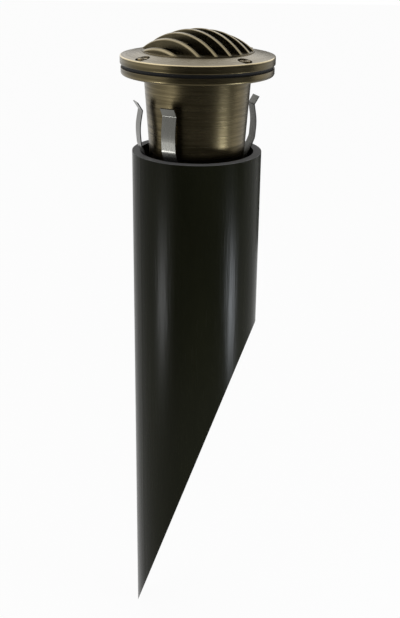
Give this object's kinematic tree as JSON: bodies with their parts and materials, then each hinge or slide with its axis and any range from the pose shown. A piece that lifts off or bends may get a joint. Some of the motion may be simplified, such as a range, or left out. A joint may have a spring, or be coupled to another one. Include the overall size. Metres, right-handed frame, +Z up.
{
  "type": "in-ground lamp with sleeve",
  "caption": "In-ground lamp: tapered brass cup with a flange and domed louvre cover, sprung into a black pipe sleeve that is cut to a point.",
  "frame": {"origin": "centre of the sleeve's top rim, which is the level of the ground", "axes": "+Z up along the sleeve's axis; the sleeve's point is towards -X, turned 12.9 degrees towards +Y"},
  "size_m": [0.1038, 0.1038, 0.4679],
  "materials": {
    "sleeve_pvc": "glossy black extruded pipe, saw-cut ends",
    "antique_brass": "antique bronze-brown brass with fine turning lines and worn bright edges",
    "screw_brass": "bright yellow brass",
    "rubber": "matte black rubber",
    "lens_glass": "clear tempered glass",
    "spring_steel": "stainless spring strip",
    "zinc_steel": "bright turned steel",
    "lamp_aluminium": "machined aluminium ring",
    "reflector": "faceted mirror reflector",
    "lamp_glass": "clear thin glass",
    "ceramic": "off-white ceramic",
    "gland_nylon": "black moulded nylon"
  },
  "bodies": {
    "sleeve": {"pvc_sleeve": "sleeve_pvc"},
    "head": {"housing": "antique_brass", "grate_cover": "antique_brass", "cover_screws": "screw_brass", "cover_gasket": "rubber", "lens_seal": "rubber", "lens": "lens_glass", "spring_clip_right": "spring_steel", "spring_clip_left": "spring_steel", "spring_clip_rear": "spring_steel", "spring_clip_front": "spring_steel", "clip_screws": "zinc_steel", "snap_rings": "zinc_steel", "gland_body": "gland_nylon", "gland_washer": "rubber", "gland_locknut": "gland_nylon", "gland_seal": "rubber", "gland_nut": "gland_nylon"},
    "gimbal": {"gimbal_ring": "lamp_aluminium", "pivot_screws": "zinc_steel"},
    "lamp": {"lamp_ring": "lamp_aluminium", "lamp_retaining_ring": "zinc_steel", "lamp_front_glass": "lamp_glass", "lamp_reflector": "reflector", "lamp_capsule": "lamp_glass", "lamp_base": "ceramic", "lamp_pins": "zinc_steel", "lamp_socket": "ceramic", "socket_contacts": "screw_brass"}
  },
  "joints": [
    {"name": "head_slide", "type": "slide", "parent": "sleeve", "child": "head", "axis": [0, 0, 1], "range_m": [-0.052, 0.012], "deforming": ["spring_clip_right", "spring_clip_left", "spring_clip_rear", "spring_clip_front"]},
    {"name": "lamp_turn", "type": "hinge", "parent": "head", "child": "gimbal", "pos_m": [0, 0, 0.0432], "axis": [0, 0, 1], "range_deg": [-180, 180]},
    {"name": "lamp_tilt", "type": "hinge", "parent": "gimbal", "child": "lamp", "pos_m": [0, 0, 0.0432], "axis": [1, 0, 0], "range_deg": [-15, 15]}
  ]
}
